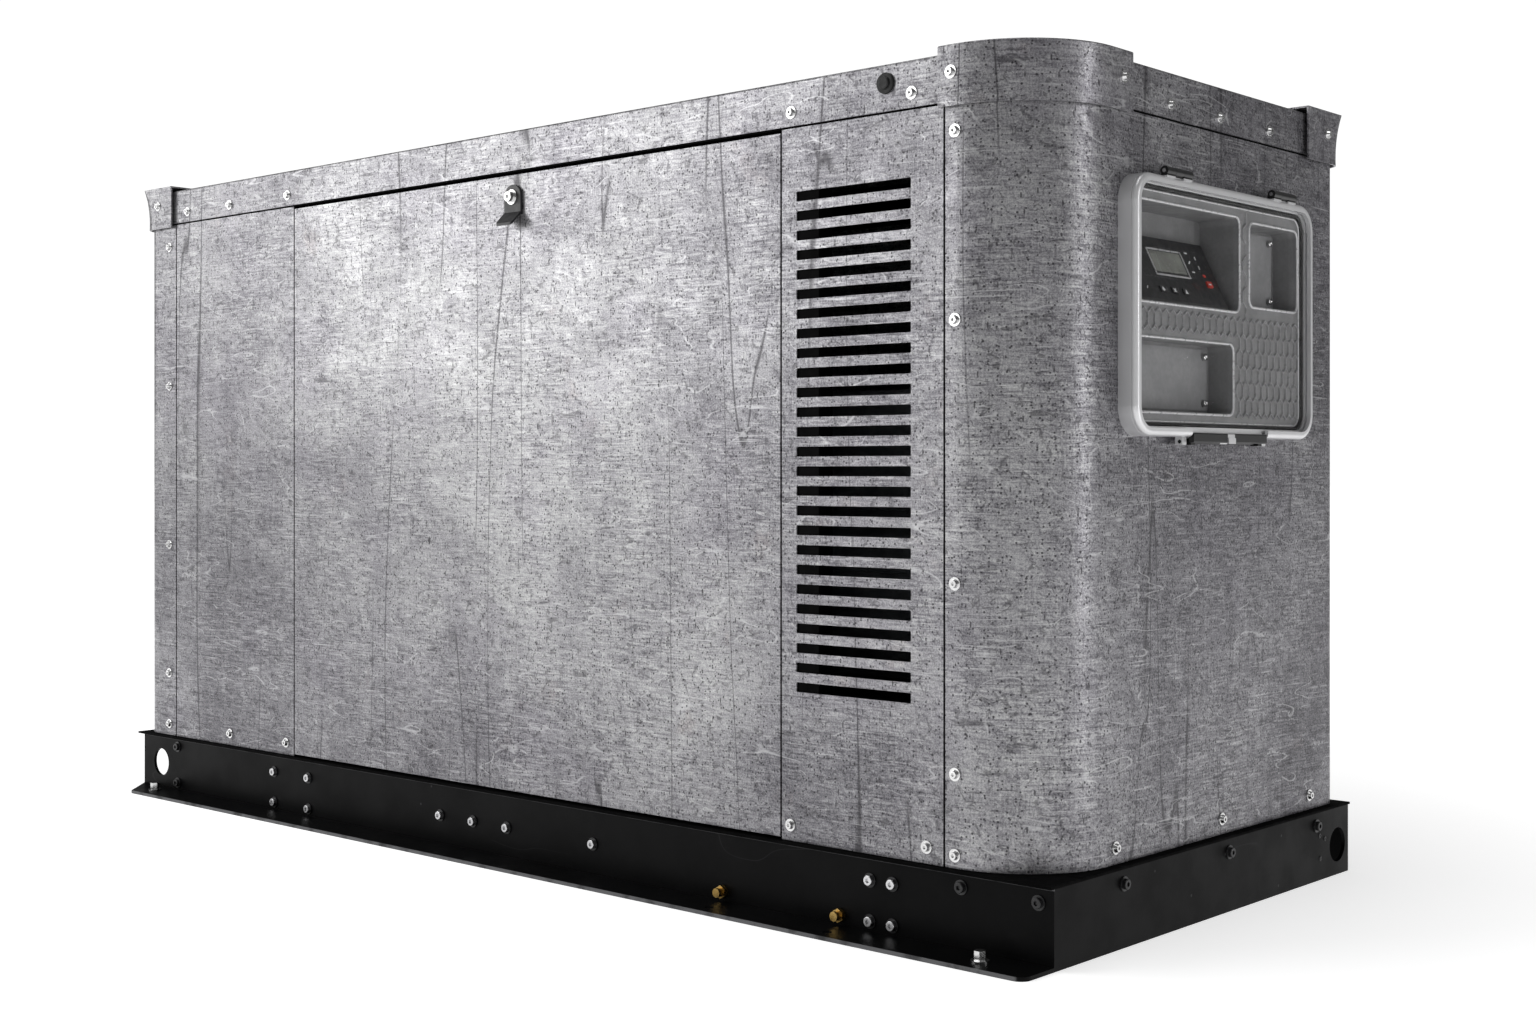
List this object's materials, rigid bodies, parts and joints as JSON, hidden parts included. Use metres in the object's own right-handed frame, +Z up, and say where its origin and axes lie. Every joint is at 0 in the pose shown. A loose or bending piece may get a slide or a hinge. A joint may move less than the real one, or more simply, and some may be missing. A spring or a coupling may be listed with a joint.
{
  "type": "standby generator",
  "caption": "Liquid-cooled standby generator on a skid base, in a sheet-metal enclosure with a tilt-out door, louvred panels and a clear-covered control window.",
  "frame": {"origin": "on the floor, under the middle of the skid base", "axes": "+X along the long front side towards the control end, -Y out of the front with the door, +Z up"},
  "size_m": [1.977, 0.874, 1.073],
  "materials": {
    "sheet_metal": "mottled satin",
    "black_steel": "satin powder coat",
    "stainless": "bright",
    "black_bolt": "satin black oxide",
    "brass": "dull",
    "black_rubber": "matt",
    "foam": "matt open-cell foam",
    "black_plastic": "satin",
    "silver_frame": "satin anodised",
    "grey_plastic": "moulded satin",
    "display": "glossy lens",
    "key_grey": "satin",
    "key_red": "satin",
    "clear_pane": "clear polycarbonate",
    "cast_metal": "sand cast, painted",
    "cast_alloy": "die cast",
    "rotor_steel": "machined",
    "radiator_black": "black",
    "exhaust_steel": "aluminised"
  },
  "bodies": {
    "base": {"air_cleaner": "black_plastic", "alternator_housing": "cast_metal", "anchor_bolts": "stainless", "base_bolts": "stainless", "battery": "black_plastic", "bell_housing": "cast_metal", "black_base_bolts": "black_bolt", "controller_case": "black_plastic", "corner_panel": "sheet_metal", "corner_posts": "sheet_metal", "cover_hinge_pins": "stainless", "cross_members": "black_steel", "cylinder_head": "cast_alloy", "deck_plate": "black_steel", "display_lens": "display", "door_frame": "black_steel", "door_gasket": "black_rubber", "drain_fittings": "brass", "drive_belt": "black_rubber", "end_plate": "black_steel", "engine_block": "cast_metal", "engine_mounts": "black_rubber", "exhaust_pipe": "exhaust_steel", "frame_posts": "black_steel", "front_left_panel": "sheet_metal", "front_louvre_panel": "sheet_metal", "front_rail": "black_steel", "instrument_plate": "grey_plastic", "large_roof_cap": "sheet_metal", "left_end_panel": "sheet_metal", "muffler": "exhaust_steel", "oil_pan": "cast_alloy", "panel_screws": "stainless", "pocket_covers": "grey_plastic", "radiator": "radiator_black", "rear_louvre_panel": "sheet_metal", "rear_panel": "sheet_metal", "rear_rail": "black_steel", "roof_panel": "sheet_metal", "roof_plug": "black_rubber", "roof_ring": "black_steel", "small_roof_caps": "sheet_metal", "valve_cover": "cast_alloy", "window_collar": "silver_frame"},
    "door": {"access_door": "sheet_metal", "door_insulation": "foam"},
    "door_latch": {"latch_lever": "black_plastic", "latch_screw": "stainless"},
    "window_cover": {"cover_frame": "silver_frame", "cover_pane": "clear_pane"},
    "window_latch_bar": {"window_latch": "black_plastic"},
    "menu_key_1": {"menu_key_1": "key_grey"},
    "menu_key_2": {"menu_key_2": "key_grey"},
    "menu_key_3": {"menu_key_3": "key_grey"},
    "stop_key": {"stop_key": "key_red"},
    "crank_line": {"crankshaft": "cast_metal", "flywheel": "cast_metal", "alternator_rotor": "rotor_steel", "crank_pulley": "black_steel"},
    "fan": {"cooling_fan": "black_plastic"}
  },
  "joints": [
    {"name": "door_tilt", "type": "hinge", "parent": "base", "child": "door", "pos_m": [0, -0.376, 0.1], "axis": [1, 0, 0], "range_deg": [0, 35]},
    {"name": "door_latch_turn", "type": "hinge", "parent": "door", "child": "door_latch", "pos_m": [0.04075, -0.372, 0.967], "axis": [0, 1, 0], "range_deg": [0, 90]},
    {"name": "window_cover_swing", "type": "hinge", "parent": "base", "child": "window_cover", "pos_m": [0.9855, 0.01, 0.9345], "axis": [0, -1, 0], "range_deg": [0, 110]},
    {"name": "window_latch_flip", "type": "hinge", "parent": "base", "child": "window_latch_bar", "pos_m": [0.976, 0.01, 0.605], "axis": [0, 1, 0], "range_deg": [0, 90]},
    {"name": "menu_key_1_press", "type": "slide", "parent": "base", "child": "menu_key_1", "axis": [-0.9008, 0, -0.4341], "range_m": [0, 0.001], "stiffness_N_per_m": 400, "springref_m": -0.0005},
    {"name": "menu_key_2_press", "type": "slide", "parent": "base", "child": "menu_key_2", "axis": [-0.9008, 0, -0.4341], "range_m": [0, 0.001], "stiffness_N_per_m": 400, "springref_m": -0.0005},
    {"name": "menu_key_3_press", "type": "slide", "parent": "base", "child": "menu_key_3", "axis": [-0.9008, 0, -0.4341], "range_m": [0, 0.001], "stiffness_N_per_m": 400, "springref_m": -0.0005},
    {"name": "stop_key_press", "type": "slide", "parent": "base", "child": "stop_key", "axis": [-0.9008, 0, -0.4341], "range_m": [0, 0.001], "stiffness_N_per_m": 400, "springref_m": -0.0005},
    {"name": "crank_spin", "type": "hinge", "parent": "base", "child": "crank_line", "pos_m": [0, -0.006, 0.385], "axis": [1, 0, 0], "continuous": true},
    {"name": "fan_spin", "type": "hinge", "parent": "base", "child": "fan", "pos_m": [-0.4, -0.006, 0.575], "axis": [1, 0, 0], "continuous": true}
  ],
  "couplings": [
    {"joint": "fan_spin", "follows": "crank_spin", "ratio": 1.25}
  ]
}
